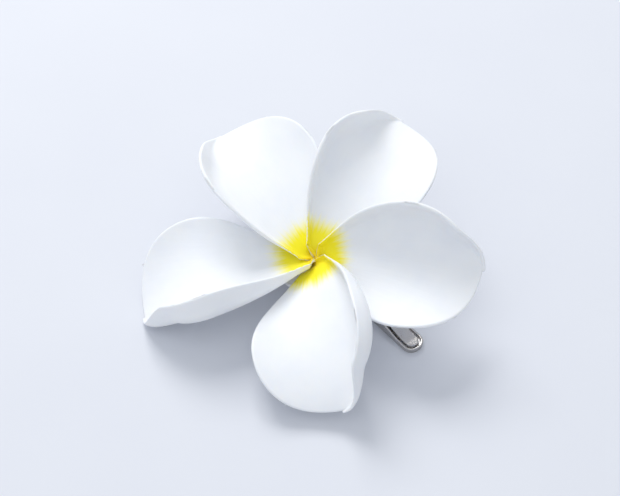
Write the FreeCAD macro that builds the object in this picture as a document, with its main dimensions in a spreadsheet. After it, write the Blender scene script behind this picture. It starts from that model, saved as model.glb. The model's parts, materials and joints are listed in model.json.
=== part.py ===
import FreeCAD, Part
import math
import os
import re
import Sketcher
from FreeCAD import Placement, Rotation, Vector

# A plumeria flower hair clip: five soft petals with rolled margins stand on a stub that is glued
# to a sprung metal clip with two jaws.  Millimetres.  The clip lies along +X with its jaw tips at
# +X and its hinge pin along Y.  The origin is on the flat underside of the lower jaw, on the
# clip's centre line and level with the middle of the flower, and +Z is up.

DIMS = {
    # the metal clip: sheet, hinge and the two jaws' shared outline
    "sheet_t": 0.55,
    "hinge_x": -8.0,
    "hinge_z": 2.9,
    "tab_end_x": -21.5,
    "tab_rise": 4.2,
    "tab_corner": 3.0,
    "side_gap": 0.25,
    # the upper jaw: a channel that narrows to a neck and ends in a small pad
    "jaw_half": 4.2,
    "roof_z": 5.6,
    "roof_end_x": 11.0,
    "roof_end_half": 3.8,
    "neck_x": 17.5,
    "neck_half": 1.9,
    "tip_pad_x": 26.8,
    "tip_x": 30.25,
    "tip_half": 1.6,
    "tip_gap": 0.15,
    "flank_back": 3.6,
    "flank_lift": 0.6,
    "flank_z": 1.1,
    "flank_fade": 4.6,
    "flank_front_z": 2.5,
    "flank_neck_z": 1.2,
    # the lower jaw: a strip with toothed rails, ears for the pin and a tray round the tip pad
    "waist_half": 2.1,
    "tray_x": 18.4,
    "tray_lead": 1.2,
    "tray_half": 2.7,
    "tray_back_z": 3.1,
    "tray_low_x": 26.4,
    "tray_front_z": 1.2,
    "tray_wall": 0.45,
    "tray_gap": 0.5,
    "rail_x": 1.0,
    "rail_end_x": 15.5,
    "rail_end_half": 1.65,
    "tooth_x": 2.2,
    "tooth_top": 1.6,
    "tooth_pitch": 1.5,
    "tooth_depth": 0.7,
    "teeth": 9,
    "ear_foot": 2.6,
    "ear_top": 1.7,
    "ear_gap": 0.15,
    # the hinge pin and the torsion spring (angles in degrees)
    "pin_radius": 0.9,
    "pin_fit": 0.05,
    "rivet_radius": 1.45,
    "rivet_t": 0.4,
    "wire_radius": 0.3,
    "coil_radius": 1.45,
    "coil_step": 0.72,
    "coil_starts": 273.0,
    "coil_turns": 2.443,
    "spring_leg": 11.0,
    # what holds the flower on the clip
    "glue_t": 0.8,
    "glue_y": -2.6,
    "glue_radius": 5.2,
    "felt_radius": 9.0,
    "felt_t": 1.0,
    "stub_radius": 6.5,
    "stub_top_radius": 4.6,
    "throat_z": 9.6,
    "throat_radius": 2.04,
    "core_radius": 1.6,
    "core_height": 1.9,
    # a petal laid flat
    "petal_length": 38.8,
    "petal_width": 34.4,
    "petal_t": 0.9,
    "foot_t": 0.5,
    "foot_share": 0.22,
    "flare_power": 1.26,
    "shoulder": 0.59,
    # how the petal rises from the throat and bends (angles in degrees)
    "rise_foot": 43.0,
    "rise_blade": 17.0,
    "rise_fade": 0.04,
    "droop": 40.0,
    "droop_power": 1.63,
    "cup": 43.5,
    "twist_foot": 15.7,
    "twist_tip": 11.2,
    "tip_sweep": -1.4,
    # the margin that rolls up
    "roll_foot_w": 1.6,
    "roll_w": 8.0,
    "roll_widens": 0.53,
    "roll_fades": 0.77,
    "roll_fade_run": 0.23,
    "roll_angle": 74.5,
    "roll_bend": 0.6,
    # how the flower sits on the clip (angles in degrees)
    "flower_y": -5.8,
    "flower_turn": 50.0,
    "lean_back": 12.0,
    "lean_side": -6.5,
}

# each petal: azimuth, added pitch, twist, roll and droop (degrees), and its length scale
PETALS = {
    "petal_1": (197, -6.5, 1, 7, -4, 1.08),
    "petal_2": (125, 5, -3, -29, -5, 0.98),
    "petal_3": (56, 1, -3, -8, -11, 1.0),
    "petal_4": (-14, 9, 6, -8, 0, 1.05),
    "petal_5": (279, 6, 4, 22, 11, 1.05),
}

doc = FreeCAD.newDocument("flower_hair_clip")
sheet = doc.addObject("Spreadsheet::Sheet", "dims")
for row, (alias, number) in enumerate(DIMS.items(), start=1):
    sheet.set("A%d" % row, alias)
    sheet.set("B%d" % row, str(number))
    sheet.setAlias("B%d" % row, alias)
doc.recompute()
nodes = []


def bound(expression):
    """The expression, with each driving dimension read from the sheet."""
    return re.sub("[a-z_]+", lambda word: "dims." + word.group() if word.group() in DIMS
                  else word.group(), str(expression))


def value(expression):
    """What an expression of driving dimensions comes to."""
    return float(sheet.evalExpression(bound(expression)))


def size(name):
    """One driving dimension."""
    return float(sheet.get(name))


# ---------------------------------------------------------------- sketches and features

def new_body(name):
    body = doc.addObject("PartDesign::Body", name)
    body.Label = name
    nodes.append(body)
    return body


def new_sketch(body, name, plane, offset="0"):
    """A sketch on one of the body's origin planes, moved along that plane's normal."""
    sketch = body.newObject("Sketcher::SketchObject", name)
    origin_plane = [f for f in body.Origin.OriginFeatures if f.Role == plane][0]
    sketch.AttachmentSupport = [(origin_plane, "")]
    sketch.MapMode = "FlatFace"
    sketch.setExpression(".AttachmentOffset.Base.z", bound(offset))
    return sketch


def place_point(sketch, geometry, point, x, y):
    """Tie one point of a sketch to two expressions."""
    for kind, expression in (("DistanceX", x), ("DistanceY", y)):
        row = sketch.addConstraint(Sketcher.Constraint(kind, geometry, point, value(expression)))
        sketch.setExpression("Constraints[%d]" % row, bound(expression))


def add_polygon(sketch, corners):
    """A closed outline of straight edges, each corner a pair of expressions."""
    first = sketch.GeometryCount
    points = [Vector(value(x), value(y), 0) for x, y in corners]
    for start, end in zip(points, points[1:] + points[:1]):
        sketch.addGeometry(Part.LineSegment(start, end))
    for step in range(len(corners)):
        after = first + (step + 1) % len(corners)
        sketch.addConstraint(Sketcher.Constraint("Coincident", first + step, 2, after, 1))
    for step, (x, y) in enumerate(corners):
        place_point(sketch, first + step, 1, x, y)
    return sketch


def add_mirrored(sketch, edge):
    """A closed outline that is the same on both sides of the X axis: pairs of x and half width."""
    right = [(x, "-(%s)" % half) for x, half in edge]
    left = [(x, half) for x, half in reversed(edge)]
    return add_polygon(sketch, right + left)


def add_circle(sketch, x, y, radius):
    centre = Vector(value(x), value(y), 0)
    ring = sketch.addGeometry(Part.Circle(centre, Vector(0, 0, 1), value(radius)))
    place_point(sketch, ring, 3, x, y)
    row = sketch.addConstraint(Sketcher.Constraint("Radius", ring, value(radius)))
    sketch.setExpression("Constraints[%d]" % row, bound(radius))
    return sketch


def add_feature(body, kind, name, profile, **settings):
    """A feature on a profile; text settings are expressions, others are plain values."""
    feature = body.newObject("PartDesign::" + kind, name)
    feature.Profile = profile
    for key, setting in settings.items():
        if key in ("Length", "Angle"):
            feature.setExpression(key, bound(setting))
        else:
            setattr(feature, key, setting)
    doc.recompute()
    return feature


def add_loft(body, kind, name, sections):
    """A straight-sided loft along X through upright rectangles: x, half width, low z, high z."""
    outlines = []
    for step, (x, half, low, high) in enumerate(sections):
        sketch = new_sketch(body, "%s_%d" % (name, step), "YZ_Plane", x)
        corners = [("-(%s)" % half, low), (half, low), (half, high), ("-(%s)" % half, high)]
        outlines.append(add_polygon(sketch, corners))
    loft = body.newObject("PartDesign::" + kind, name)
    loft.Profile = outlines[0]
    loft.Sections = outlines[1:]
    loft.Ruled = True
    doc.recompute()
    return loft


def round_edges(body, name, radius, chosen):
    """A fillet on the edges of the body's last feature that the chosen test picks."""
    base = body.Tip
    edges = ["Edge%d" % number for number, edge in enumerate(base.Shape.Edges, start=1)
             if chosen(edge)]
    fillet = body.newObject("PartDesign::Fillet", name)
    fillet.Base = (base, edges)
    fillet.Radius = radius
    doc.recompute()
    return fillet


def is_upright(edge, x):
    """True for an edge along Z that stands at this x."""
    box = edge.BoundBox
    return box.XLength < 0.01 and box.YLength < 0.01 and abs(box.XMin - x) < 0.01


def drill_pin_hole(body, radius):
    """A hole along Y through both walls of a jaw, for the hinge pin."""
    before = body.Shape.Volume
    ring = add_circle(new_sketch(body, body.Name + "_hole_line", "XZ_Plane"),
                      "hinge_x", "hinge_z", radius)
    add_feature(body, "Pocket", body.Name + "_hole", ring, Length="3 * jaw_half", Midplane=True)
    if body.Shape.Volume >= before:
        raise RuntimeError("the pin hole of %s cuts nothing" % body.Name)


def trim_tab_corners(body, half):
    """Cut the two corners off the end of a finger tab, seen from above."""
    before = body.Shape.Volume
    corners = new_sketch(body, body.Name + "_corners", "XY_Plane")
    for side in ("", "-"):
        add_polygon(corners, [
            ("tab_end_x - tab_corner", "%s(%s + tab_corner)" % (side, half)),
            ("tab_end_x - tab_corner", "%s(%s - tab_corner)" % (side, half)),
            ("tab_end_x", "%s(%s - tab_corner * 0.75)" % (side, half)),
            ("tab_end_x + tab_corner * 0.27", "%s(%s - tab_corner * 0.27)" % (side, half)),
            ("tab_end_x + tab_corner * 0.75", "%s(%s)" % (side, half)),
            ("tab_end_x + tab_corner * 0.75", "%s(%s + tab_corner)" % (side, half))])
    add_feature(body, "Pocket", body.Name + "_trim", corners, Length="4 * roof_z", Midplane=True)
    if body.Shape.Volume >= before:
        raise RuntimeError("the corners of %s are not cut" % body.Name)


# ---------------------------------------------------------------- the clip

TAB_SLOPE = "(tab_rise / (hinge_x - tab_end_x))"
PAD_LOW = "sheet_t + tip_gap"
PAD_TOP = "2 * sheet_t + tip_gap"
NECK_TOP = "roof_z - (roof_z - (%s)) * (neck_x - roof_end_x) / (tip_pad_x - roof_end_x)" % PAD_TOP
LOWER_HALF = "jaw_half - sheet_t - side_gap"
LOWER_END = "tip_x + tray_gap + tray_wall"


def make_upper_jaw():
    """A folded channel: flat roof under the flower, sloping nose, tip pad and a raised tab."""
    body = new_body("upper_jaw")
    add_loft(body, "AdditiveLoft", "channel", [
        ("hinge_x - flank_back", "jaw_half", "hinge_z + flank_lift",
         "roof_z + flank_back * " + TAB_SLOPE),
        ("hinge_x - flank_back / 2", "jaw_half", "flank_z",
         "roof_z + flank_back / 2 * " + TAB_SLOPE),
        ("hinge_x", "jaw_half", "flank_z", "roof_z"),
        ("hinge_x + flank_back / 2", "jaw_half", "flank_z", "roof_z"),
        ("hinge_x + flank_fade", "jaw_half", "flank_front_z", "roof_z"),
        ("roof_end_x", "roof_end_half", "flank_front_z", "roof_z"),
        ("neck_x", "neck_half", "flank_neck_z", NECK_TOP),
        ("tip_pad_x", "tip_half", PAD_LOW, PAD_TOP),
        ("tip_x", "tip_half", PAD_LOW, PAD_TOP)])
    add_loft(body, "SubtractiveLoft", "hollow", [
        ("hinge_x - flank_back - sheet_t", "jaw_half - sheet_t", "0",
         "roof_z - sheet_t + (flank_back + sheet_t) * " + TAB_SLOPE),
        ("hinge_x", "jaw_half - sheet_t", "0", "roof_z - sheet_t"),
        ("roof_end_x", "roof_end_half - sheet_t", "0", "roof_z - sheet_t"),
        ("neck_x", "neck_half - sheet_t", "0", NECK_TOP + " - sheet_t"),
        ("tip_pad_x", "tip_half - sheet_t", "0", PAD_LOW)])
    tab = new_sketch(body, "tab_side", "XZ_Plane")
    add_polygon(tab, [("hinge_x", "roof_z"), ("tab_end_x", "roof_z + tab_rise"),
                      ("tab_end_x", "roof_z + tab_rise - sheet_t"),
                      ("hinge_x", "roof_z - sheet_t")])
    add_feature(body, "Pad", "tab", tab, Length="2 * jaw_half", Midplane=True)
    round_edges(body, "rounded_tip", value("tip_half * 0.9"),
                lambda edge: is_upright(edge, value("tip_x")))
    trim_tab_corners(body, "jaw_half")
    drill_pin_hole(body, "pin_radius")
    return body


def add_rail(body, name, side):
    """One toothed wall that stands on the edge of the strip and follows it to the waist."""
    edge = [("rail_x", LOWER_HALF), ("roof_end_x", "roof_end_half - sheet_t - side_gap"),
            ("rail_end_x", "rail_end_half")]
    outside = [(x, "%d * (%s)" % (side, half)) for x, half in edge]
    inside = [(x, "%d * (%s - sheet_t)" % (side, half)) for x, half in reversed(edge)]
    outline = new_sketch(body, name + "_outline", "XY_Plane", "sheet_t / 2")
    add_polygon(outline, outside + inside)
    add_feature(body, "Pad", name, outline, Length="tooth_top - sheet_t / 2")


def cut_teeth(body):
    """A row of notches through both rails."""
    before = body.Shape.Volume
    notch = new_sketch(body, "notch_side", "XZ_Plane")
    add_polygon(notch, [("tooth_x", "tooth_top + tip_gap"),
                        ("tooth_x + tooth_pitch", "tooth_top + tip_gap"),
                        ("tooth_x + tooth_pitch / 2", "tooth_top - tooth_depth")])
    cut = add_feature(body, "Pocket", "notch", notch, Length="3 * jaw_half", Midplane=True)
    teeth = body.newObject("PartDesign::LinearPattern", "notches")
    teeth.Originals = [cut]
    teeth.Direction = (notch, ["H_Axis"])
    teeth.Mode = "Spacing"
    teeth.setExpression("Offset", bound("tooth_pitch"))
    teeth.setExpression("Occurrences", bound("teeth"))
    body.Tip = teeth
    doc.recompute()
    if body.Shape.Volume >= before:
        raise RuntimeError("the teeth cut nothing")


def add_tray(body):
    """The spoon at the tip: walls that rise towards the back and close round the end."""
    block = new_sketch(body, "tray_outline", "XY_Plane")
    add_mirrored(block, [("tray_x", "tray_half"), (LOWER_END, "tray_half")])
    add_feature(body, "Pad", "tray", block, Length="tray_back_z")
    above = new_sketch(body, "tray_side", "XZ_Plane")
    add_polygon(above, [
        ("tray_x - tray_lead", "sheet_t + tip_gap"), ("tray_x", "sheet_t"),
        ("tray_x + tray_lead", "tray_back_z"), ("tray_low_x", "tray_front_z"),
        (LOWER_END + " + tray_lead", "tray_front_z"),
        (LOWER_END + " + tray_lead", "2 * tray_back_z"),
        ("tray_x - tray_lead", "2 * tray_back_z")])
    add_feature(body, "Pocket", "tray_walls", above, Length="3 * jaw_half", Midplane=True)
    inside = new_sketch(body, "tray_inside", "XY_Plane", "2 * tray_back_z")
    add_mirrored(inside, [("tray_x - tray_lead", "tray_half - tray_wall"),
                          (LOWER_END + " - tray_wall", "tray_half - tray_wall")])
    add_feature(body, "Pocket", "tray_room", inside, Length="2 * tray_back_z - sheet_t")
    round_edges(body, "rounded_end", value("tray_half * 0.9"),
                lambda edge: is_upright(edge, value(LOWER_END)))
    round_edges(body, "rounded_room", value("(tray_half - tray_wall) * 0.9"),
                lambda edge: is_upright(edge, value(LOWER_END + " - tray_wall")))


def add_ears(body):
    """Two ears inside the upper jaw's flanks, for the hinge pin."""
    ears = new_sketch(body, "ears_side", "XZ_Plane")
    add_polygon(ears, [("hinge_x - ear_foot", "sheet_t / 2"), ("hinge_x + ear_foot", "sheet_t / 2"),
                       ("hinge_x + ear_top * 0.88", "hinge_z + ear_top * 0.7"),
                       ("hinge_x + ear_top * 0.35", "hinge_z + ear_top"),
                       ("hinge_x - ear_top * 0.35", "hinge_z + ear_top"),
                       ("hinge_x - ear_top * 0.88", "hinge_z + ear_top * 0.7")])
    add_feature(body, "Pad", "ears", ears, Length="2 * (%s - ear_gap)" % LOWER_HALF, Midplane=True)
    room = new_sketch(body, "ears_room", "XZ_Plane")
    add_polygon(room, [("hinge_x - 2 * ear_foot", "sheet_t"), ("hinge_x + 2 * ear_foot", "sheet_t"),
                       ("hinge_x + 2 * ear_foot", "hinge_z + 2 * ear_top"),
                       ("hinge_x - 2 * ear_foot", "hinge_z + 2 * ear_top")])
    add_feature(body, "Pocket", "between_ears", room,
                Length="2 * (%s - ear_gap - sheet_t)" % LOWER_HALF, Midplane=True)


def make_lower_jaw():
    """A flat strip with the tab behind, ears for the pin, toothed rails and a tray at the tip."""
    body = new_body("lower_jaw")
    outline = new_sketch(body, "strip_outline", "XY_Plane")
    add_mirrored(outline, [
        ("tab_end_x", LOWER_HALF), ("rail_x", LOWER_HALF),
        ("roof_end_x", "roof_end_half - sheet_t - side_gap"),
        ("tray_x - tray_lead", "waist_half"), ("tray_x", "tray_half"), (LOWER_END, "tray_half")])
    add_feature(body, "Pad", "strip", outline, Length="sheet_t")
    add_rail(body, "rail_left", 1)
    add_rail(body, "rail_right", -1)
    cut_teeth(body)
    add_tray(body)
    add_ears(body)
    trim_tab_corners(body, LOWER_HALF)
    drill_pin_hole(body, "pin_radius + pin_fit")
    return body


def make_hinge_pin():
    """The rivet that both jaws turn on: a plain shank with a flat head on each side."""
    body = new_body("hinge_pin")
    profile = new_sketch(body, "pin_half", "XY_Plane", "hinge_z")
    head = [("hinge_x", "jaw_half + rivet_t"),
            ("hinge_x + rivet_radius * 0.7", "jaw_half + rivet_t"),
            ("hinge_x + rivet_radius", "jaw_half + rivet_t / 2"),
            ("hinge_x + rivet_radius", "jaw_half"), ("hinge_x + pin_radius", "jaw_half")]
    other_head = [(x, "-(%s)" % y) for x, y in head]
    add_polygon(profile, other_head + head[::-1])
    axis_edge = "Edge%d" % (2 * len(head))
    add_feature(body, "Revolution", "pin", profile, ReferenceAxis=(profile, [axis_edge]),
                Angle="360")
    return body


def make_torsion_spring():
    """A wire coil round the pin; one leg presses under the upper tab, one on the lower tab."""
    feature = doc.addObject("Part::Feature", "torsion_spring")
    feature.Label = "torsion_spring"
    nodes.append(feature)
    wire, radius, step = size("wire_radius"), size("coil_radius"), size("coil_step")
    turns = size("coil_turns")
    middle = Vector(size("hinge_x"), 0, size("hinge_z"))
    solid = frenet = True

    def wire_at(turn):
        """A point of the coil's middle line, and the way it runs there."""
        angle = math.radians(size("coil_starts")) + 2 * math.pi * turn
        point = middle + Vector(radius * math.cos(angle), step * (turn - turns / 2),
                                radius * math.sin(angle))
        run = Vector(-2 * math.pi * radius * math.sin(angle), step,
                     2 * math.pi * radius * math.cos(angle))
        return point, run.normalize()

    # the coil is swept in short arcs, because one long sweep meshes badly
    arcs, arc_points = 10, 8
    swept = []
    for arc in range(arcs):
        rows = [wire_at(turns * (arc + place / arc_points) / arcs)
                for place in range(arc_points + 1)]
        curve = Part.BSplineCurve()
        curve.interpolate(Points=[point for point, run in rows], Tangents=[run for point, run in rows],
                          TangentFlags=[True] * len(rows))
        ring = Part.Wire([Part.makeCircle(wire, *rows[0])])
        swept.append(Part.Wire([curve.toShape()]).makePipeShell([ring], solid, frenet))
    start, start_run = wire_at(0)
    end, end_run = wire_at(turns)
    legs = [Part.makeCylinder(wire, size("spring_leg"), start, -start_run),
            Part.makeCylinder(wire, size("spring_leg"), end, end_run)]
    feature.Shape = swept[0].fuse(swept[1:] + legs).Solids[0]
    return feature


# ---------------------------------------------------------------- what holds the flower

def make_disc(name, centre_y, low, radius, thickness):
    """A round slab that lies flat under the flower."""
    body = new_body(name)
    outline = new_sketch(body, name + "_outline", "XY_Plane", low)
    add_circle(outline, "0", centre_y, radius)
    add_feature(body, "Pad", name + "_slab", outline, Length=thickness)
    return body


def flower_seat():
    """Where the flower's own frame lies: leaned and turned, its origin in the throat."""
    lean = Rotation(Vector(0, 1, 0), size("lean_side")).multiply(
        Rotation(Vector(1, 0, 0), size("lean_back")))
    turned = Rotation(Vector(0, 0, 1), size("flower_turn")).multiply(lean)
    return Placement(Vector(0, size("flower_y"), size("throat_z")), turned)


def make_flower_base():
    """The stub of white clay under the petals: round and flat on the felt, leaned at the top."""
    body = new_body("flower_base")
    foot = add_circle(new_sketch(body, "stub_foot", "XY_Plane", "roof_z + glue_t + felt_t"),
                      "0", "flower_y", "stub_radius")
    head = new_sketch(body, "stub_head", "XY_Plane", "throat_z")
    head.AttachmentOffset = flower_seat()
    add_circle(head, "0", "0", "stub_top_radius")
    stub = body.newObject("PartDesign::AdditiveLoft", "stub")
    stub.Profile = foot
    stub.Sections = [head]
    doc.recompute()
    return body


def make_throat_core():
    """The small yellow cone in the middle, where the petals' feet meet."""
    body = new_body("throat_core")
    profile = new_sketch(body, "core_profile", "XZ_Plane")
    add_polygon(profile, [("0", "0"), ("core_radius", "0"),
                          ("core_radius * 0.8", "core_height * 0.5"),
                          ("core_radius * 0.25", "core_height"), ("0", "core_height")])
    add_feature(body, "Revolution", "core", profile, ReferenceAxis=(profile, ["V_Axis"]),
                Angle="360")
    body.Placement = flower_seat()
    return body


# ---------------------------------------------------------------- petals

def ease(share):
    """A smooth step from 0 to 1."""
    share = min(1.0, max(0.0, share))
    return share * share * (3 - 2 * share)


def petal_outline(along, across):
    """A point of the petal laid flat: along 0 to 1 from foot to tip, across -1 to 1."""
    foot = size("foot_share")
    flare = foot + (1 - foot) * math.sin(math.pi / 2 * along) ** size("flare_power")
    turn = math.pi / 2 * across
    shoulder = size("shoulder")
    x = math.sin(turn) * size("petal_width") / 2 * flare
    y = along * size("petal_length") * (shoulder + (1 - shoulder) * math.cos(turn))
    return x, y


def rolled_margin():
    """Points along the margin that rolls up: place, outward direction and width of the roll."""
    side = [petal_outline(step / 60, 1.0) for step in range(61)]
    tip = [petal_outline(1.0, 1.0 - step / 40) for step in range(1, 77)]
    points = side + tip
    run = [0.0]
    for before, after in zip(points, points[1:]):
        run.append(run[-1] + math.dist(before, after))
    axis_run = run[100]
    margin = []
    for index in range(1, len(points) - 1):
        across = points[index + 1][0] - points[index - 1][0]
        along = points[index + 1][1] - points[index - 1][1]
        norm = math.hypot(across, along)
        share = run[index] / axis_run
        width = size("roll_foot_w") + ((size("roll_w") - size("roll_foot_w"))
                                       * ease(share / size("roll_widens")))
        width *= 1 - ease((share - size("roll_fades")) / size("roll_fade_run"))
        margin.append((points[index], (along / norm, -across / norm), max(width, 1e-3)))
    return margin


def petal_axis(pitch, droop, scale):
    """The petal's middle line in its own upright plane: slope, radius and height."""
    count = 80
    line = []
    reach, height = size("throat_radius"), 0.0
    step = size("petal_length") * scale * 1.05 / count
    for index in range(count + 1):
        share = 1.05 * index / count
        slope = math.radians(size("rise_blade") + pitch
                             + (size("rise_foot") - size("rise_blade"))
                             * math.exp(-share / size("rise_fade"))
                             - (size("droop") + droop) * share ** size("droop_power"))
        if index:
            middle = (slope + line[-1][0]) / 2
            reach += step * math.cos(middle)
            height += step * math.sin(middle)
        line.append((slope, reach, height))
    return line


class Petal:
    """One petal: a flat outline, bent along its axis, cupped, twisted, with one margin rolled."""

    def __init__(self, azimuth, pitch, twist, roll, droop, scale):
        self.turn = Placement(Vector(0, 0, 0), Rotation(Vector(0, 0, 1), azimuth))
        self.twist = twist
        self.roll = math.radians(size("roll_angle") + roll)
        self.scale = scale
        self.line = petal_axis(pitch, droop, scale)

    def on_axis(self, share):
        """Slope, radius and height of the middle line at a share of the petal's length."""
        place = min(max(share, 0.0) / 1.05 * (len(self.line) - 1), len(self.line) - 1.001)
        index = int(place)
        part = place - index
        low, high = self.line[index], self.line[index + 1]
        return [a + (b - a) * part for a, b in zip(low, high)]

    def blade(self, x, y):
        """The unrolled petal's surface over a point of the flat outline."""
        share = y / size("petal_length")
        slope, reach, height = self.on_axis(share)
        half = size("petal_width") / 2
        cup = math.radians(size("cup"))
        bend = cup * x * self.scale / half
        side = half / cup * math.sin(bend)
        lift = half / cup * (1 - math.cos(bend))
        twist = math.radians(size("twist_foot") + self.twist
                             + (size("twist_tip") - size("twist_foot")) * share)
        across = side * math.cos(twist) - lift * math.sin(twist)
        normal = side * math.sin(twist) + lift * math.cos(twist)
        return Vector(reach - math.sin(slope) * normal, across + size("tip_sweep") * share * share,
                      height + math.cos(slope) * normal)

    def surface(self, along, across, margin):
        """A point of the upper side, and the upward normal there."""
        x, y = petal_outline(along, across)
        edge, outward, width = min(margin, key=lambda row: math.dist(row[0], (x, y)))
        past = max(0.0, width - math.dist(edge, (x, y)))
        fold_x, fold_y = x - outward[0] * past, y - outward[1] * past
        step = 0.05
        start = self.blade(fold_x, fold_y)
        by_x = self.blade(fold_x + step, fold_y) - start
        by_y = self.blade(fold_x, fold_y + step) - start
        up = by_y.cross(by_x).normalize()
        out = (by_x * outward[0] + by_y * outward[1]).normalize()
        bent = min(past, size("roll_bend") * width)
        curve = self.roll / (size("roll_bend") * width)
        straight = past - bent
        turn = curve * bent
        run = math.sin(turn) / curve + math.cos(self.roll) * straight
        rise = (1 - math.cos(turn)) / curve + math.sin(self.roll) * straight
        point = start + (out * run + up * rise) * self.scale
        normal = up * math.cos(turn) - out * math.sin(turn)
        return point, normal


def skin(grid):
    """A smooth face through a grid of points."""
    surface = Part.BSplineSurface()
    surface.interpolate(grid)
    return surface.toShape()


def make_petal(name, row, margin):
    """A petal as a solid: its upper side, the same side let down by its thickness, and the rim."""
    petal = Petal(*row)
    rows, columns = 16, 32
    upper = []
    lower = []
    for along in range(rows):
        share = along / (rows - 1)
        thick = size("foot_t") + (size("petal_t") - size("foot_t")) * ease(share / 0.5)
        points = [petal.surface(share, 2 * across / (columns - 1) - 1, margin)
                  for across in range(columns)]
        upper.append([point for point, normal in points])
        lower.append([point - normal * thick for point, normal in points])
    top, bottom = skin(upper), skin(lower)
    same_way = 1
    rims = [Part.makeRuledSurface(a, b, same_way) for a, b in zip(top.Edges, bottom.Edges)]
    shell = Part.makeShell([top, bottom] + rims)
    shell.sewShape()
    solid = Part.makeSolid(shell)
    if solid.Volume < 0:
        solid.reverse()
    feature = doc.addObject("Part::Feature", name)
    feature.Label = name
    feature.Shape = solid
    feature.Placement = flower_seat().multiply(petal.turn)
    nodes.append(feature)
    return feature


# ---------------------------------------------------------------- the whole clip

def check_and_write():
    """Stop at anything that failed to build; otherwise write one STEP file for each sub-part."""
    doc.recompute()
    for item in doc.Objects:
        if "Invalid" in item.State or "Error" in item.State:
            raise RuntimeError("%s did not build: %s" % (item.Name, item.State))
    for node in nodes:
        shape = node.Shape
        if shape.isNull() or not shape.isValid() or len(shape.Solids) != 1:
            raise RuntimeError("%s is not one valid solid" % node.Label)
    os.makedirs("parts", exist_ok=True)
    for node in nodes:
        node.Shape.exportStep("parts/%s.step" % node.Label)
        print("%-16s %9.1f mm3" % (node.Label, node.Shape.Volume))


make_upper_jaw()
make_lower_jaw()
make_hinge_pin()
make_torsion_spring()
make_disc("glue_pad", "glue_y", "roof_z", "glue_radius", "glue_t")
make_disc("backing_disc", "flower_y", "roof_z + glue_t", "felt_radius", "felt_t")
make_flower_base()
make_throat_core()
shared_margin = rolled_margin()
for petal_name, petal_row in PETALS.items():
    make_petal(petal_name, petal_row, shared_margin)
check_and_write()
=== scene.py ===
import json
import math

import bmesh
import bpy
import numpy as np
from mathutils import Matrix, Vector, noise


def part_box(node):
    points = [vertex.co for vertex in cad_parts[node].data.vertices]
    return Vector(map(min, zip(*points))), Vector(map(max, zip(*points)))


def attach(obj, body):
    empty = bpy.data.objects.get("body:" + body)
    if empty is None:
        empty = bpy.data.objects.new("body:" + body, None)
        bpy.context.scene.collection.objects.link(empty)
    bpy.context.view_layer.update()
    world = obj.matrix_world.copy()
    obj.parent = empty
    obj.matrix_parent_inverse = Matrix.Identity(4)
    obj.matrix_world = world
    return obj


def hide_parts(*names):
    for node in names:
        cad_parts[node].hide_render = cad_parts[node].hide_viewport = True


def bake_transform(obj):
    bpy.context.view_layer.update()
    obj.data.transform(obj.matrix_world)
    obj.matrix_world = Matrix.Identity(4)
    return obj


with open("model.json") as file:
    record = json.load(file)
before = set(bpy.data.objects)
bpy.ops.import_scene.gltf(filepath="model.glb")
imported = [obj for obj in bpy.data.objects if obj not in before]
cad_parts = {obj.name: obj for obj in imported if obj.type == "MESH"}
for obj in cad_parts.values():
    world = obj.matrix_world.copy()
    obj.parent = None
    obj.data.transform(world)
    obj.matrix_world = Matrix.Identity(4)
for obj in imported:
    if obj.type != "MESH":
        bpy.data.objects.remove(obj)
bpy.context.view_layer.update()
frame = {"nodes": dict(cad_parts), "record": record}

# The plumeria hair clip. Petals, stub, throat, felt and glue are built here, the jaws and the pin
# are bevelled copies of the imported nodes, and the spring is swept again.
# Lengths are metres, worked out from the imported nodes; angles are degrees.

MM = 0.001
WELD_DISTANCE = 0.5e-3 * MM
PETAL_NAMES = ["petal_1", "petal_2", "petal_3", "petal_4", "petal_5"]
PETAL_COUNT = len(PETAL_NAMES)


# ---------------------------------------------------------------- sizes read from the frame

def boxes_of(names):
    """The lowest and highest corner of several nodes together."""
    corners = [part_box(name) for name in names]
    low = Vector([min(box[0][axis] for box in corners) for axis in range(3)])
    high = Vector([max(box[1][axis] for box in corners) for axis in range(3)])
    return low, high


def middle_of(name):
    low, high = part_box(name)
    return (low + high) / 2


petals_low, petals_high = boxes_of(PETAL_NAMES)
felt_low, felt_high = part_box("backing_disc")
glue_low, glue_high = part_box("glue_pad")
base_low, base_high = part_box("flower_base")
pin_low, pin_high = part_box("hinge_pin")
spring_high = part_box("torsion_spring")[1]
pin = (pin_low + pin_high) / 2

# a petal laid flat, as shares of the flower's span along X
FLOWER_SPAN = petals_high.x - petals_low.x
PETAL_LENGTH = 0.5098 * FLOWER_SPAN
PETAL_WIDTH = 0.452 * FLOWER_SPAN
PETAL_THICK = 0.0118 * FLOWER_SPAN
THROAT_RADIUS = 0.0268 * FLOWER_SPAN
FOOT_SHARE = 0.22
FLARE_POWER = 1.26
SHOULDER = 0.59
# below the foot each petal runs on down a funnel to the middle of the throat
FUNNEL_SHARE = 0.07
FUNNEL_SLOPE = 50.0
FUNNEL_NARROWS = 0.8

# how a petal rises from the throat and bends
RISE_FOOT = 43.0
RISE_BLADE = 17.0
RISE_FADE = 0.04
DROOP = 40.0
DROOP_POWER = 1.63
CUP = 43.5
TWIST_FOOT = 15.7
TWIST_TIP = 11.2
TIP_SWEEP = -0.036 * PETAL_LENGTH
# the middle line is worked out to a little past the tip, in even steps
AXIS_END = 1.05
AXIS_POINTS = 225

# a petal's mesh: points up its blade and funnel, points across, and how they crowd to the tip
BLADE_ROWS = 150
FUNNEL_ROWS = 12
PETAL_COLUMNS = 170
TIP_CROWDING = 1.5
# the share of the full thickness at the foot, and how far up the petal it is full
FOOT_THICK = 0.55
THICK_BY = 0.5

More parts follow.
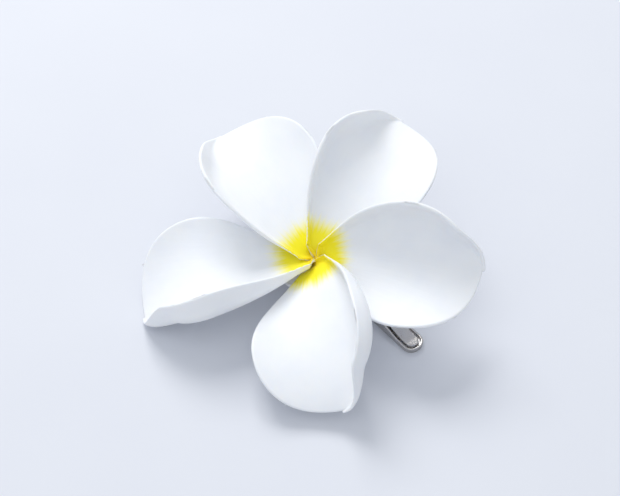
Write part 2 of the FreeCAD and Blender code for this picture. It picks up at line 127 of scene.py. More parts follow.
# the margin that rolls up: widths, and where along the margin it widens and ends
ROLL_FOOT = 0.041 * PETAL_LENGTH
ROLL_WIDE = 0.206 * PETAL_LENGTH
ROLL_WIDENS = 0.53
ROLL_FADES = 0.77
ROLL_FADE_RUN = 0.23
ROLL_ANGLE = 74.5
# the margin is followed round the tip to here across the petal, and never gets narrower than this
ROLL_REACHES = -0.9
ROLL_LEAST = 1e-3 * MM

# each petal: azimuth, added pitch, twist, roll and droop, its length scale, and how much of
# the rolled width is curved, so that a low share gives a crisp standing wall
PETALS = {
    "petal_1": (197, -6.5, 1, 7, -4, 1.08, 0.5),
    "petal_2": (125, 5, -3, -29, -5, 0.98, 0.5),
    "petal_3": (56, 1, -3, -8, -11, 1.0, 0.42),
    "petal_4": (-14, 9, 6, -8, 0, 1.05, 0.42),
    "petal_5": (279, 6, 4, 22, 11, 1.05, 0.75),
}

# how the flower sits on the clip
STUB_HEIGHT = 0.0289 * FLOWER_SPAN
FLOWER_TURN = 50.0
LEAN_BACK = 12.0
LEAN_SIDE = -6.5
flower_centre = middle_of("backing_disc")
THROAT = Vector((flower_centre.x, flower_centre.y, felt_high.z + STUB_HEIGHT))
SEAT = (Matrix.Translation(THROAT)
        @ Matrix.Rotation(math.radians(FLOWER_TURN), 4, "Z")
        @ Matrix.Rotation(math.radians(LEAN_SIDE), 4, "Y")
        @ Matrix.Rotation(math.radians(LEAN_BACK), 4, "X"))

# the stub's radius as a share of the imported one, its dish as a share of the funnel, its five
# lobes, and its dents: how many per metre and how deep
STUB_SHARE = 0.88
DISH_SHARE = 1.05
STUB_SIDES = 72
STUB_LOBES = 0.025
STUB_LOBE_TWIST = 4
STUB_DENTS = 260
STUB_DENT_DEPTH = 0.12 * MM

# the bud in the throat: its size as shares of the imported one, its mesh, lobes and dents
BUD_RADIUS = 0.7
BUD_HEIGHT = 0.75
BUD_LEVELS = 12
BUD_SIDES = 40
BUD_LOBES = 0.12
BUD_LOBE_TWIST = 2.4
BUD_FULLNESS = 0.7
BUD_DENTS = 700
BUD_DENT_DEPTH = 0.05 * MM

# the glue: its mesh, and how far its edge bulges as a share of its thickness
GLUE_LEVELS = 11
GLUE_SIDES = 96
GLUE_BULGE = 0.6

# the felt: its mesh, how far the cut edge wanders and is nicked, as shares of its radius, and
# how far the fibres stand off
FELT_SIDES = 240
FELT_WANDER = 0.02
FELT_NICKS = 0.012
FELT_FUZZ = 0.06 * MM

# the stamped steel: points closer than this are one, faces flatter than this are one, and edges
# sharper than this are bevelled
STEEL_WELD = 1e-3 * MM
FLAT_WITHIN = 2.0
SHARP_FROM = 32.0

# the spring: the wire's radius and the legs' length as shares of the coil's outer radius, the
# advance along the pin per turn in wire radii, how many turns, and the angle at which they start
WIRE_SHARE = 0.1714
LEG_SHARE = 6.286
COIL_ADVANCE = 2.4
COIL_TURNS = 2.443
COIL_STARTS = 273.0
COIL_POINTS = 99
LEG_POINTS = 24
WIRE_SIDES = 14
# the wire's cut ends: how far they narrow and stand out, in wire radii
CUT_NARROWS = 0.6
CUT_STANDS_OUT = 0.35

# the camera faces the front of the flower, and its film is shifted a little so that the throat
# stands just right of and below the middle of the frame
CAMERA_AZIMUTH = FLOWER_TURN
CAMERA_ELEVATION = 51.5
CAMERA_DISTANCE = 380 * MM
CAMERA_LENS = 92.45
CAMERA_SENSOR = 36.0
CAMERA_SHIFT_X = -0.0073
CAMERA_SHIFT_Y = 0.0161

# each light: azimuth beyond the camera's, elevation, distance, size, power and colour
LIGHTS = {
    "key": (200, 52, 0.9, 0.45, 4.6, (1.0, 0.99, 0.97)),
    "fill": (-30, 62, 1.1, 1.2, 2.2, (0.94, 0.96, 1.0)),
}
SKY_COLOUR = (0.90, 0.94, 1.0, 1)
SKY_STRENGTH = 0.62
FLOOR_HALF = 2.0
STEEL_BEVEL = 0.1 * MM
RIVET_BEVEL = 0.08 * MM


# ---------------------------------------------------------------- small helpers

def ease(share):
    """A smooth step from 0 to 1."""
    share = np.clip(share, 0.0, 1.0)
    return share * share * (3 - 2 * share)


def moved(points, matrix):
    """An array of points, carried by a matrix."""
    turn = np.array(matrix.to_3x3())
    return points @ turn.T + np.array(matrix.translation)


def direction(azimuth, elevation):
    """A unit vector. Azimuth turns anticlockwise from -Y, seen from above."""
    turn = math.radians(azimuth)
    rise = math.radians(elevation)
    return Vector((math.sin(turn) * math.cos(rise), -math.cos(turn) * math.cos(rise),
                   math.sin(rise)))


def new_piece(name, points, faces, smooth=True):
    """A mesh object in the row frame."""
    mesh = bpy.data.meshes.new(name)
    mesh.from_pydata([tuple(point) for point in points], [], faces)
    mesh.update()
    for polygon in mesh.polygons:
        polygon.use_smooth = smooth
    piece = bpy.data.objects.new(name, mesh)
    bpy.context.scene.collection.objects.link(piece)
    return piece


def add_attribute(piece, name, values):
    """A number at each vertex, for the materials."""
    attribute = piece.data.attributes.new(name, "FLOAT", "POINT")
    attribute.data.foreach_set("value", np.asarray(values, np.float32))


def grid_faces(rows, columns, offset=0, flip=False):
    """Quads over a grid of points stored row by row."""
    faces = []
    for row in range(rows - 1):
        for column in range(columns - 1):
            corner = offset + row * columns + column
            quad = (corner, corner + 1, corner + columns + 1, corner + columns)
            faces.append(quad[::-1] if flip else quad)
    return faces


# ---------------------------------------------------------------- materials

def new_material(name):
    """An empty node material: its nodes, links and shader."""
    material = bpy.data.materials.new(name)
    material.use_nodes = True
    tree = material.node_tree
    shader = tree.nodes["Principled BSDF"]
    return material, tree, shader


def add_node(tree, kind, **inputs):
    node = tree.nodes.new(kind)
    for name, setting in inputs.items():
        node.inputs[name.replace("_", " ")].default_value = setting
    return node


def attribute_node(tree, name):
    node = tree.nodes.new("ShaderNodeAttribute")
    node.attribute_name = name
    return node.outputs["Fac"]


def math_node(tree, operation, first, second=None, clamp=False):
    """A Math node on sockets or numbers."""
    node = tree.nodes.new("ShaderNodeMath")
    node.operation = operation
    node.use_clamp = clamp
    for place, source in enumerate((first, second)):
        if source is None:
            continue
        if isinstance(source, (int, float)):
            node.inputs[place].default_value = source
        else:
            tree.links.new(source, node.inputs[place])
    return node.outputs[0]


def step_node(tree, source, low, high, to_low=0.0, to_high=1.0):
    """A smooth ramp of a socket from one range to another."""
    node = tree.nodes.new("ShaderNodeMapRange")
    node.interpolation_type = "SMOOTHSTEP"
    node.inputs["From Min"].default_value = low
    node.inputs["From Max"].default_value = high
    node.inputs["To Min"].default_value = to_low
    node.inputs["To Max"].default_value = to_high
    tree.links.new(source, node.inputs["Value"])
    return node.outputs["Result"]


def mix_colours(tree, factor, first, second):
    """A blend of two colours, each a socket or a tuple."""
    node = tree.nodes.new("ShaderNodeMix")
    node.data_type = "RGBA"
    tree.links.new(factor, node.inputs["Factor"])
    for place, source in ((6, first), (7, second)):
        if isinstance(source, tuple):
            node.inputs[place].default_value = source
        else:
            tree.links.new(source, node.inputs[place])
    return node.outputs[2]


def noise_node(tree, scale, detail=3.0, stretch=(1, 1, 1), distortion=0.0):
    """Noise over the object's own coordinates, in features per metre."""
    place = tree.nodes.new("ShaderNodeTexCoord")
    mapping = add_node(tree, "ShaderNodeMapping", Scale=stretch)
    tree.links.new(place.outputs["Object"], mapping.inputs["Vector"])
    node = add_node(tree, "ShaderNodeTexNoise", Scale=scale, Detail=detail,
                    Distortion=distortion)
    tree.links.new(mapping.outputs["Vector"], node.inputs["Vector"])
    return node.outputs["Fac"]


def add_bump(tree, shader, height, strength, distance):
    node = add_node(tree, "ShaderNodeBump", Strength=strength, Distance=distance)
    tree.links.new(height, node.inputs["Height"])
    tree.links.new(node.outputs["Normal"], shader.inputs["Normal"])


def petal_material():
    """White satin foam with faint veins, and a yellow glow painted up from the throat."""
    material, tree, shader = new_material("petal_foam")
    along = attribute_node(tree, "along_mm")
    across = attribute_node(tree, "across_mm")
    rim = attribute_node(tree, "rim_mm")
    under = attribute_node(tree, "underside")
    fine = noise_node(tree, 900.0, 4.0)
    broad = noise_node(tree, 140.0, 2.0)
    # the veins run along the petal, so their noise is read in the petal's flat coordinates
    flat = tree.nodes.new("ShaderNodeCombineXYZ")
    fan = math_node(tree, "DIVIDE", across, math_node(tree, "ADD", along, 9.0))
    tree.links.new(math_node(tree, "MULTIPLY", fan, 15.0), flat.inputs["X"])
    tree.links.new(math_node(tree, "MULTIPLY", along, 0.045), flat.inputs["Y"])
    veins = add_node(tree, "ShaderNodeTexNoise", Scale=1.6, Detail=3.0)
    tree.links.new(flat.outputs["Vector"], veins.inputs["Vector"])
    vein = veins.outputs["Fac"]
    # distance from the throat, drawn further up the petal by the veins
    reach = math_node(tree, "SUBTRACT", along,
                      math_node(tree, "MULTIPLY", math_node(tree, "SUBTRACT", vein, 0.5), 5.0))
    reach = math_node(tree, "ADD", reach,
                      math_node(tree, "MULTIPLY", math_node(tree, "ABSOLUTE", across), 0.22))
    # only the inside is painted, so the underside turns white at once
    reach = math_node(tree, "ADD", reach, math_node(tree, "MULTIPLY", under, 9.0))
    white = (0.90, 0.915, 0.94, 1)
    cream = (0.96, 0.93, 0.62, 1)
    lemon = (1.0, 0.86, 0.0, 1)
    amber = (1.0, 0.74, 0.0, 1)
    shaded = mix_colours(tree, step_node(tree, broad, 0.3, 0.8), white, (0.865, 0.885, 0.925, 1))
    pale = mix_colours(tree, step_node(tree, reach, 9.5, 5.5), shaded, cream)
    bright = mix_colours(tree, step_node(tree, reach, 8.0, 4.2), pale, lemon)
    deep = mix_colours(tree, step_node(tree, reach, 1.6, -1.4), bright, amber)
    tree.links.new(deep, shader.inputs["Base Color"])
    roughness = step_node(tree, fine, 0.2, 0.8, 0.46, 0.60)
    tree.links.new(roughness, shader.inputs["Roughness"])
    shader.inputs["Subsurface Weight"].default_value = 0.35
    shader.inputs["Subsurface Radius"].default_value = (1.0, 0.9, 0.8)
    shader.inputs["Subsurface Scale"].default_value = 0.9 * MM
    shader.inputs["Sheen Weight"].default_value = 0.15
    shader.inputs["Sheen Roughness"].default_value = 0.5
    relief = math_node(tree, "ADD", vein, math_node(tree, "MULTIPLY", fine, 0.12))
    edge_fade = step_node(tree, rim, 0.2, 1.4)
    add_bump(tree, shader, math_node(tree, "MULTIPLY", relief, edge_fade), 0.35, 0.12 * MM)
    return material


def foam_material(name, colour, dark):
    """Hand-pressed white or yellow foam, with dents and pores."""
    material, tree, shader = new_material(name)
    broad = noise_node(tree, 260.0, 3.0)
    fine = noise_node(tree, 1400.0, 4.0)
    tree.links.new(mix_colours(tree, step_node(tree, broad, 0.35, 0.75), colour, dark),
                   shader.inputs["Base Color"])
    shader.inputs["Roughness"].default_value = 0.6
    shader.inputs["Subsurface Weight"].default_value = 0.3
    shader.inputs["Subsurface Radius"].default_value = (1.0, 0.9, 0.8)
    shader.inputs["Subsurface Scale"].default_value = 0.8 * MM
    relief = math_node(tree, "ADD", broad, math_node(tree, "MULTIPLY", fine, 0.3))
    add_bump(tree, shader, relief, 0.5, 0.25 * MM)
    return material


def steel_material(name, colour, dark, roughness, streak):
    """Plated steel with drawn streaks, small scuffs and a slightly uneven plate."""
    material, tree, shader = new_material(name)
    drawn = noise_node(tree, 420.0, 4.0, stretch=streak)
    cloud = noise_node(tree, 180.0, 3.0)
    scuff = noise_node(tree, 2600.0, 5.0, distortion=1.5)
    stain = step_node(tree, cloud, 0.45, 0.8)
    tree.links.new(mix_colours(tree, stain, colour, dark), shader.inputs["Base Color"])
    shader.inputs["Metallic"].default_value = 1.0
    worn = math_node(tree, "MULTIPLY", step_node(tree, scuff, 0.58, 0.75), 0.18)
    base = step_node(tree, drawn, 0.25, 0.75, roughness, roughness + 0.12)
    tree.links.new(math_node(tree, "ADD", base, worn, clamp=True), shader.inputs["Roughness"])
    relief = math_node(tree, "ADD", math_node(tree, "MULTIPLY", drawn, 0.5),
                       math_node(tree, "MULTIPLY", cloud, 0.5))
    add_bump(tree, shader, relief, 0.25, 0.05 * MM)
    return material


def felt_material():
    """White craft felt: matted fibres with a soft sheen."""
    material, tree, shader = new_material("felt")
    fibres = noise_node(tree, 2200.0, 6.0, distortion=3.0)
    clumps = noise_node(tree, 500.0, 3.0)
    tone = math_node(tree, "ADD", math_node(tree, "MULTIPLY", fibres, 0.6),
                     math_node(tree, "MULTIPLY", clumps, 0.4))
    tree.links.new(mix_colours(tree, step_node(tree, tone, 0.35, 0.65),
                               (0.76, 0.76, 0.75, 1), (0.93, 0.93, 0.92, 1)),
                   shader.inputs["Base Color"])
    shader.inputs["Roughness"].default_value = 0.95
    shader.inputs["Sheen Weight"].default_value = 0.6
    shader.inputs["Sheen Roughness"].default_value = 0.6
    add_bump(tree, shader, tone, 0.8, 0.2 * MM)
    return material


def glue_material():
    """Cloudy hot-melt glue."""
    material, tree, shader = new_material("hot_melt")
    cloud = noise_node(tree, 350.0, 3.0)
    tree.links.new(mix_colours(tree, step_node(tree, cloud, 0.3, 0.7),
                               (0.80, 0.76, 0.64, 1), (0.88, 0.86, 0.78, 1)),
                   shader.inputs["Base Color"])
    tree.links.new(step_node(tree, cloud, 0.3, 0.8, 0.16, 0.32), shader.inputs["Roughness"])
    shader.inputs["Subsurface Weight"].default_value = 0.6
    shader.inputs["Subsurface Radius"].default_value = (1.0, 0.9, 0.7)
    shader.inputs["Subsurface Scale"].default_value = 1.5 * MM
    shader.inputs["Coat Weight"].default_value = 0.3
    add_bump(tree, shader, cloud, 0.3, 0.2 * MM)
    return material


# ---------------------------------------------------------------- the petals

def petal_outline(along, across):
    """The petal laid flat: along 0 to 1 from foot to tip, across -1 to 1."""
    above = np.clip(along, 0, 1)
    below = np.clip(-along / FUNNEL_SHARE, 0, 1)
    flare = FOOT_SHARE + (1 - FOOT_SHARE) * np.sin(np.pi / 2 * above) ** FLARE_POWER
    flare = flare * (1 - FUNNEL_NARROWS * below)
    turn = np.pi / 2 * across
    x = np.sin(turn) * PETAL_WIDTH / 2 * flare
    y = along * PETAL_LENGTH * (SHOULDER + (1 - SHOULDER) * np.cos(turn))
    return x, y


def nearest(x, y, line):
    """For each point, the index of the nearest point of a line and the distance to it."""
    index = np.empty(x.shape, int)
    distance = np.empty(x.shape)
    for row in range(x.shape[0]):
        gap = (x[row][:, None] - line[:, 0]) ** 2 + (y[row][:, None] - line[:, 1]) ** 2
        index[row] = gap.argmin(1)
        distance[row] = np.sqrt(gap.min(1))
    return index, distance


def outline_points(side, tip_end, side_count=240, tip_count=420):
    """Points up one side of the flat petal and round its tip to where across is tip_end."""
    along = np.linspace(-FUNNEL_SHARE, 1, side_count)
    up = np.stack(petal_outline(along, np.full_like(along, side)), 1)
    across = np.linspace(side, tip_end, tip_count)[1:]
    round_tip = np.stack(petal_outline(np.ones_like(across), across), 1)
    return np.concatenate([up, round_tip]), side_count + int(np.abs(across).argmin())


def rolled_margin():
    """The margin that rolls up: points, outward directions and the width of the roll."""
    points, axis_index = outline_points(1.0, ROLL_REACHES)
    run = np.concatenate([[0], np.cumsum(np.linalg.norm(np.diff(points, axis=0), axis=1))])
    share = run / run[axis_index]
    step = np.gradient(points, axis=0)
    step /= np.linalg.norm(step, axis=1)[:, None]
    outward = np.stack([step[:, 1], -step[:, 0]], 1)
    width = ROLL_FOOT + (ROLL_WIDE - ROLL_FOOT) * ease(share / ROLL_WIDENS)
    width = width * (1 - ease((share - ROLL_FADES) / ROLL_FADE_RUN))
    return points, outward, np.maximum(width, ROLL_LEAST)


def petal_axis(pitch, droop, scale):
    """The petal's middle line: share of length, slope, radius and height."""
    share = np.linspace(-FUNNEL_SHARE, AXIS_END, AXIS_POINTS)
    above = np.maximum(share, 0)
    slope = np.radians(RISE_BLADE + pitch + (RISE_FOOT - RISE_BLADE) * np.exp(-above / RISE_FADE)
                       - (DROOP + droop) * above ** DROOP_POWER)
    slope = np.where(share < 0, math.radians(FUNNEL_SLOPE), slope)
    step = PETAL_LENGTH * scale * (share[1] - share[0])
    middle = (slope[1:] + slope[:-1]) / 2
    reach = np.concatenate([[0], np.cumsum(np.cos(middle) * step)])
    height = np.concatenate([[0], np.cumsum(np.sin(middle) * step)])
    reach += THROAT_RADIUS - np.interp(0, share, reach)
    height -= np.interp(0, share, height)
    return share, slope, reach, height


def blade(x, y, axis, twist, scale):
    """The unrolled petal's surface over points of the flat outline."""
    share = y / PETAL_LENGTH
    slope = np.interp(share, axis[0], axis[1])
    reach = np.interp(share, axis[0], axis[2])
    height = np.interp(share, axis[0], axis[3])
    half = PETAL_WIDTH / 2
    cup = math.radians(CUP)
    bend = cup * x * scale / half
    side = half / cup * np.sin(bend)
    lift = half / cup * (1 - np.cos(bend))
    turn = np.radians(TWIST_FOOT + twist + (TWIST_TIP - TWIST_FOOT) * share)
    across = side * np.cos(turn) - lift * np.sin(turn)
    normal = side * np.sin(turn) + lift * np.cos(turn)
    return np.stack([reach - np.sin(slope) * normal, across + TIP_SWEEP * share * share,
                     height + np.cos(slope) * normal], -1)


def unit(vectors):
    return vectors / np.linalg.norm(vectors, axis=-1, keepdims=True)


def petal_surface(x, y, margin, row):
    """The petal's upper side with its margin rolled up, and the upward normals."""
    pitch, twist, roll, droop, scale, bend_share = row[1:]
    axis = petal_axis(pitch, droop, scale)
    points, outward, widths = margin
    index, distance = nearest(x, y, points)
    width = widths[index]
    out_x, out_y = outward[index, 0], outward[index, 1]
    past = np.maximum(0, width - distance)
    fold_x, fold_y = x - out_x * past, y - out_y * past
    step = 0.05 * MM
    start = blade(fold_x, fold_y, axis, twist, scale)
    by_x = blade(fold_x + step, fold_y, axis, twist, scale) - start
    by_y = blade(fold_x, fold_y + step, axis, twist, scale) - start
    up = unit(np.cross(by_y, by_x))
    out = unit(by_x * out_x[..., None] + by_y * out_y[..., None])
    angle = math.radians(ROLL_ANGLE + roll)
    bent = np.minimum(past, bend_share * width)
    curve = angle / (bend_share * width)
    straight = past - bent
    turn = curve * bent
    run = np.sin(turn) / curve + math.cos(angle) * straight
    rise = (1 - np.cos(turn)) / curve + math.sin(angle) * straight
    surface = start + (out * run[..., None] + up * rise[..., None]) * scale
    normal = up * np.cos(turn)[..., None] - out * np.sin(turn)[..., None]
    return surface, normal


def make_petal(name, row, margin, material):
    """A foam petal: two sides that meet in a rounded rim, thinner towards the foot."""
    rows = FUNNEL_ROWS + BLADE_ROWS
    columns = PETAL_COLUMNS
    funnel = np.linspace(-FUNNEL_SHARE, 0, FUNNEL_ROWS, endpoint=False)
    along = np.concatenate([funnel, 1 - (1 - np.linspace(0, 1, BLADE_ROWS)) ** TIP_CROWDING])
    across = np.linspace(-1, 1, columns)
    x, y = petal_outline(along[:, None], across[None, :])
    upper, normal = petal_surface(x, y, margin, row)
    rim_line = np.concatenate([outline_points(1.0, 0.0)[0], outline_points(-1.0, 0.0)[0]])
    rim = nearest(x, y, rim_line)[1]
    rim[:, 0] = 0
    rim[:, -1] = 0
    rim[-1, :] = 0
    thick = PETAL_THICK * (FOOT_THICK + (1 - FOOT_THICK) * ease(along / THICK_BY))
    half = thick[:, None] / 2
    crown = half * np.sqrt(np.clip(1 - (1 - np.clip(rim / half, 0, 1)) ** 2, 0, 1))
    centre = upper - normal * half[..., None]
    top = centre + normal * crown[..., None]
    bottom = centre - normal * crown[..., None]
    seat = SEAT @ Matrix.Rotation(math.radians(row[0]), 4, "Z")
    points = moved(np.concatenate([top.reshape(-1, 3), bottom.reshape(-1, 3)]), seat)
    count = rows * columns
    faces = grid_faces(rows, columns) + grid_faces(rows, columns, count, flip=True)
    foot = [(column, count + column, count + column + 1, column + 1)
            for column in range(columns - 1)]
    piece = new_piece(name + "_foam", points, faces + foot)
    add_attribute(piece, "along_mm", np.tile(y.ravel(), 2) / MM)
    add_attribute(piece, "across_mm", np.tile(x.ravel(), 2) / MM)
    add_attribute(piece, "rim_mm", np.tile(rim.ravel(), 2) / MM)
    add_attribute(piece, "underside", np.repeat([0.0, 1.0], count))
    weld_vertices(piece)
    piece.data.materials.append(material)
    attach(piece, "flower")
    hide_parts(name)


def weld_vertices(piece):
    """Join the points where two sides of a piece meet, and turn every face outward."""
    work = bmesh.new()
    work.from_mesh(piece.data)
    bmesh.ops.remove_doubles(work, verts=work.verts, dist=WELD_DISTANCE)
    bmesh.ops.recalc_face_normals(work, faces=work.faces)
    work.to_mesh(piece.data)
    work.free()
    piece.data.update()


# ---------------------------------------------------------------- under the petals

def ring_stack(rings):
    """A closed skin through rings of points, with a fan at each end."""
    count = len(rings[0])
    points = [point for ring in rings for point in ring]
    faces = []
    for level in range(len(rings) - 1):
        for step in range(count):
            after = (step + 1) % count
            low, high = level * count, (level + 1) * count
            faces.append((low + step, low + after, high + after, high + step))
    for level, flip in ((0, True), (len(rings) - 1, False)):
        middle = len(points)
        points.append(sum((Vector(p) for p in rings[level]), Vector()) / count)
        for step in range(count):
            fan = (level * count + step, level * count + (step + 1) % count, middle)
            faces.append(fan[::-1] if flip else fan)
    return points, faces


def dented(point, scale, depth):
    """A point pushed about a little by smooth noise."""
    return point + noise.noise_vector(point * scale) * depth


def make_flower_base():
    """The pressed foam stub: it spreads on the felt, narrows, and is dished under the petals."""
    foot = Vector((flower_centre.x, flower_centre.y, felt_high.z))
    foot_radius = (base_high.x - base_low.x) / 2 * STUB_SHARE
    dish = FUNNEL_SHARE * PETAL_LENGTH * DISH_SHARE
    # each level: how far up towards the seat, the radius, and how far it is sunk below that;
    # the top is dished to take the petals' feet
    levels = [(0.0, foot_radius * 0.5, 0), (0.0, foot_radius * 0.97, 0), (0.08, foot_radius, 0),
              (0.3, foot_radius * 0.95, 0), (0.6, foot_radius * 0.88, 0),
              (0.85, foot_radius * 0.84, 0), (1.0, foot_radius * 0.8, 0.1 * dish),
              (1.0, foot_radius * 0.72, 0.05 * dish), (1.0, foot_radius * 0.6, 0.15 * dish),
              (1.0, foot_radius * 0.45, 0.4 * dish), (1.0, foot_radius * 0.25, dish * 0.75),
              (1.0, foot_radius * 0.06, dish * 1.1)]
    up = (SEAT.to_3x3() @ Vector((0, 0, 1))).normalized()
    rings = []
    for share, radius, sunk in levels:
        centre = foot.lerp(THROAT, share) - up * sunk
        tilt = Matrix.Identity(3).lerp(SEAT.to_3x3(), share)
        ring = []
        for step in range(STUB_SIDES):
            turn = 2 * math.pi * step / STUB_SIDES
            spoke = tilt @ Vector((math.cos(turn), math.sin(turn), 0))
            lobes = 1 + STUB_LOBES * math.sin(PETAL_COUNT * turn + STUB_LOBE_TWIST * share)
            point = centre + spoke * radius * lobes
            point.z = max(point.z, felt_high.z)
            ring.append(dented(point, STUB_DENTS, STUB_DENT_DEPTH) if share else point)
        rings.append(ring)
    piece = new_piece("flower_stub", *ring_stack(rings))
    weld_vertices(piece)
    piece.data.materials.append(foam_material("white_clay", (0.88, 0.89, 0.91, 1),
                                              (0.80, 0.81, 0.83, 1)))
    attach(piece, "flower")
    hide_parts("flower_base")


def make_throat_core():
    """The small yellow bud at the bottom of the throat."""
    core_low, core_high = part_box("throat_core")
    radius = (core_high.x - core_low.x) / 2 * BUD_RADIUS
    height = (core_high.z - core_low.z) * BUD_HEIGHT
    bottom = -FUNNEL_SHARE * PETAL_LENGTH * math.sin(math.radians(FUNNEL_SLOPE))
    rings = []
    for level in range(BUD_LEVELS):
        share = level / BUD_LEVELS
        ring = []
        for step in range(BUD_SIDES):
            turn = 2 * math.pi * step / BUD_SIDES
            lobes = 1 + BUD_LOBES * math.cos(PETAL_COUNT * turn + BUD_LOBE_TWIST * share)
            out = radius * lobes * math.cos(math.pi / 2 * share) ** BUD_FULLNESS
            place = Vector((out * math.cos(turn), out * math.sin(turn), bottom + height * share))
            ring.append(dented(SEAT @ place, BUD_DENTS, BUD_DENT_DEPTH))
        rings.append(ring)
    piece = new_piece("throat_bud", *ring_stack(rings))
    piece.data.materials.append(foam_material("yellow_clay", (0.95, 0.76, 0.01, 1),
                                              (0.93, 0.66, 0.005, 1)))
    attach(piece, "flower")
    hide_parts("throat_core")


def make_glue():
    """Hot glue pressed out between the roof and the felt, with uneven rounded lobes."""
    centre = middle_of("glue_pad")
    radius = (glue_high.x - glue_low.x) / 2
    thick = glue_high.z - glue_low.z
    rings = []
    for level in range(GLUE_LEVELS):
        share = level / (GLUE_LEVELS - 1)
        bulge = math.sqrt(max(0.0, 1 - (2 * share - 1) ** 2))
        ring = []
        for step in range(GLUE_SIDES):
            turn = 2 * math.pi * step / GLUE_SIDES
            # uneven lobes: a slow wave and a faster one
            lobes = 0.05 * math.sin(3 * turn + 0.7) + 0.035 * math.sin(7 * turn + 2.1)
            out = radius * (0.96 + lobes) + thick * GLUE_BULGE * (bulge - 1)
            ring.append(Vector((centre.x + out * math.cos(turn), centre.y + out * math.sin(turn),
                                glue_low.z + thick * share)))
        rings.append(ring)
    piece = new_piece("glue_blob", *ring_stack(rings))
    piece.data.materials.append(glue_material())
    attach(piece, "flower")
    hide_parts("glue_pad")


def make_felt():
    """The felt disc, cut by hand, so its edge wanders and frays a little."""
    radius = (felt_high.x - felt_low.x) / 2
    thick = felt_high.z - felt_low.z
    # each level: how far out, and how far up the thickness
    levels = [(0.3, 0.0), (0.7, 0.0), (0.93, 0.0), (0.985, 0.06), (1.0, 0.3), (1.0, 0.7),
              (0.985, 0.94), (0.93, 1.0), (0.7, 1.0), (0.3, 1.0)]
    rings = []
    for share, height in levels:
        ring = []
        for step in range(FELT_SIDES):
            turn = 2 * math.pi * step / FELT_SIDES
            spoke = Vector((math.cos(turn), math.sin(turn), 0))
            wander = noise.noise(spoke * 2.5) * FELT_WANDER + noise.noise(spoke * 40) * FELT_NICKS
            out = radius * share * (0.985 + wander * share ** 4)
            point = Vector((flower_centre.x, flower_centre.y, felt_low.z + thick * height))
            fuzz = noise.noise_vector((point + spoke * out) * 1900) * FELT_FUZZ
            flat = height in (0.0, 1.0) and share < 0.9
            ring.append(point + spoke * out + (Vector() if flat else fuzz))
        rings.append(ring)
    piece = new_piece("felt_disc", *ring_stack(rings))
    piece.data.materials.append(felt_material())
    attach(piece, "flower")
    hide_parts("backing_disc")


# ---------------------------------------------------------------- the metal clip

def make_bevelled(node, name, material, width):
    """A copy of a stamped part with its sharp corners broken and its faces smooth."""
    source = frame["nodes"][node]
    piece = bpy.data.objects.new(name, source.data.copy())
    bpy.context.scene.collection.objects.link(piece)
    work = bmesh.new()
    work.from_mesh(piece.data)
    bmesh.ops.remove_doubles(work, verts=work.verts, dist=STEEL_WELD)
    bmesh.ops.dissolve_limit(work, angle_limit=math.radians(FLAT_WITHIN), verts=work.verts,
                             edges=work.edges)
    sharp = [edge for edge in work.edges if len(edge.link_faces) == 2
             and edge.calc_face_angle() > math.radians(SHARP_FROM)]
    bmesh.ops.bevel(work, geom=sharp, offset=width, segments=2, profile=0.6, affect="EDGES",
                    clamp_overlap=True)
    bmesh.ops.triangulate(work, faces=work.faces)
    work.to_mesh(piece.data)
    work.free()
    for polygon in piece.data.polygons:
        polygon.use_smooth = True
    piece.data.materials.clear()
    piece.data.materials.append(material)
    weighted = piece.modifiers.new("even_normals", "WEIGHTED_NORMAL")
    weighted.weight = 80
    weighted.keep_sharp = True
    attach(piece, body_of(node))
    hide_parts(node)


def body_of(node):
    """The name of the body that a node belongs to."""
    bodies = frame["record"]["behaviour"]["bodies"]
    return next(body for body, members in bodies.items() if node in members)


def spring_path():
    """Points along the spring's wire: lower leg, turns round the pin, upper leg."""
    outer = spring_high.x - pin.x
    wire = outer * WIRE_SHARE
    coil = outer - wire
    advance = wire * COIL_ADVANCE
    starts = math.radians(COIL_STARTS)
    ends = starts + 2 * math.pi * COIL_TURNS
    leg = outer * LEG_SHARE
    points = []
    for turn in np.linspace(0, COIL_TURNS, COIL_POINTS):
        angle = starts + 2 * math.pi * turn
        points.append(pin + Vector((coil * math.cos(angle), advance * (turn - COIL_TURNS / 2),
                                    coil * math.sin(angle))))
    # the legs leave the coil along its tangents
    first = Vector((math.sin(starts), 0, -math.cos(starts)))
    last = Vector((-math.sin(ends), 0, math.cos(ends)))
    lower = [points[0] + first * leg * (1 - place / LEG_POINTS) for place in range(LEG_POINTS)]
    upper = [points[-1] + last * leg * (place + 1) / LEG_POINTS for place in range(LEG_POINTS)]
    return lower + points + upper, wire


def make_spring(material):
    """The torsion spring: a round wire swept along its path, its cut ends rounded."""
    points, wire = spring_path()
    side = Vector((0, 1, 0))
    rings = []
    for index, point in enumerate(points):
        before = points[max(index - 1, 0)]
        after = points[min(index + 1, len(points) - 1)]
        run = (after - before).normalized()
        across = (side - run * side.dot(run)).normalized()
        other = run.cross(across)
        ring = []
        for step in range(WIRE_SIDES):
            turn = 2 * math.pi * step / WIRE_SIDES
            ring.append(point + (across * math.cos(turn) + other * math.sin(turn)) * wire)
        rings.append(ring)
    for end, inward in ((0, 1), (-1, -2)):
        centre = points[end]
        away = (centre - points[inward]).normalized()
        cap = [centre + (point - centre) * CUT_NARROWS + away * wire * CUT_STANDS_OUT
               for point in rings[end]]
        if end == 0:
            rings.insert(0, cap)
        else:
            rings.append(cap)
    piece = new_piece("spring_wire", *ring_stack(rings))
    weld_vertices(piece)
    piece.data.materials.append(material)
    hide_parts("torsion_spring")
    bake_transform(piece)


# ---------------------------------------------------------------- stage, lights and camera

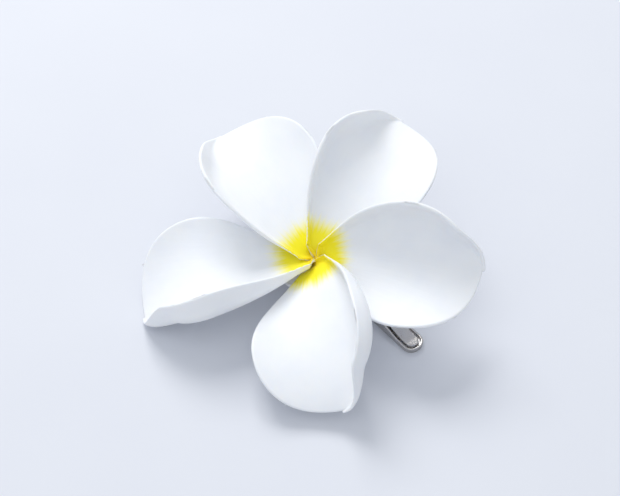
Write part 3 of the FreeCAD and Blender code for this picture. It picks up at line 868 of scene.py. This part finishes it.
def make_floor():
    half = FLOOR_HALF
    floor = new_piece("floor", [(-half, -half, 0), (half, -half, 0), (half, half, 0),
                                (-half, half, 0)], [(0, 1, 2, 3)], smooth=False)
    material, tree, shader = new_material("pale_floor")
    tone = noise_node(tree, 20.0, 2.0)
    tree.links.new(mix_colours(tree, tone, (0.70, 0.72, 0.78, 1), (0.74, 0.76, 0.81, 1)),
                   shader.inputs["Base Color"])
    shader.inputs["Roughness"].default_value = 0.7
    floor.data.materials.append(material)


def add_area_light(name, azimuth, elevation, distance, size, power, colour):
    """A square softbox aimed at the throat."""
    light = bpy.data.lights.new(name, "AREA")
    light.shape = "SQUARE"
    light.size = size
    light.energy = power
    light.color = colour
    lamp = bpy.data.objects.new(name, light)
    away = direction(azimuth, elevation)
    lamp.location = THROAT + away * distance
    lamp.rotation_euler = away.to_track_quat("Z", "Y").to_euler()
    bpy.context.scene.collection.objects.link(lamp)


def light_the_studio():
    for name, (beside_camera, *rest) in LIGHTS.items():
        add_area_light(name, CAMERA_AZIMUTH + beside_camera, *rest)
    world = bpy.data.worlds.new("studio")
    world.use_nodes = True
    world.node_tree.nodes["Background"].inputs["Color"].default_value = SKY_COLOUR
    world.node_tree.nodes["Background"].inputs["Strength"].default_value = SKY_STRENGTH
    bpy.context.scene.world = world


def make_camera():
    """A long lens that looks down at the throat from the flower's front."""
    camera = bpy.data.cameras.new("camera")
    camera.sensor_width = CAMERA_SENSOR
    camera.lens = CAMERA_LENS
    camera.shift_x = CAMERA_SHIFT_X
    camera.shift_y = CAMERA_SHIFT_Y
    camera.clip_start = 0.01
    body = bpy.data.objects.new("camera", camera)
    away = direction(CAMERA_AZIMUTH, CAMERA_ELEVATION)
    body.location = THROAT + away * CAMERA_DISTANCE
    body.rotation_euler = away.to_track_quat("Z", "Y").to_euler()
    bpy.context.scene.collection.objects.link(body)
    bpy.context.scene.camera = body


# ---------------------------------------------------------------- put it together

petal_foam = petal_material()
shared_margin = rolled_margin()
for petal_name, petal_row in PETALS.items():
    make_petal(petal_name, petal_row, shared_margin, petal_foam)
make_flower_base()
make_throat_core()
make_glue()
make_felt()

plate = steel_material("plated_steel", (0.56, 0.54, 0.53, 1), (0.44, 0.43, 0.42, 1), 0.14,
                       (0.12, 1, 1))
pin_steel = steel_material("pin_steel", (0.62, 0.62, 0.64, 1), (0.48, 0.48, 0.50, 1), 0.22,
                           (1, 1, 1))
wire_steel = steel_material("spring_wire", (0.50, 0.50, 0.52, 1), (0.36, 0.36, 0.38, 1), 0.25,
                            (1, 0.2, 1))
make_bevelled("upper_jaw", "upper_jaw_plated", plate, STEEL_BEVEL)
make_bevelled("lower_jaw", "lower_jaw_plated", plate, STEEL_BEVEL)
make_bevelled("hinge_pin", "rivet", pin_steel, RIVET_BEVEL)
make_spring(wire_steel)

make_camera()
light_the_studio()
make_floor()
bpy.context.scene.view_settings.view_transform = "Standard"
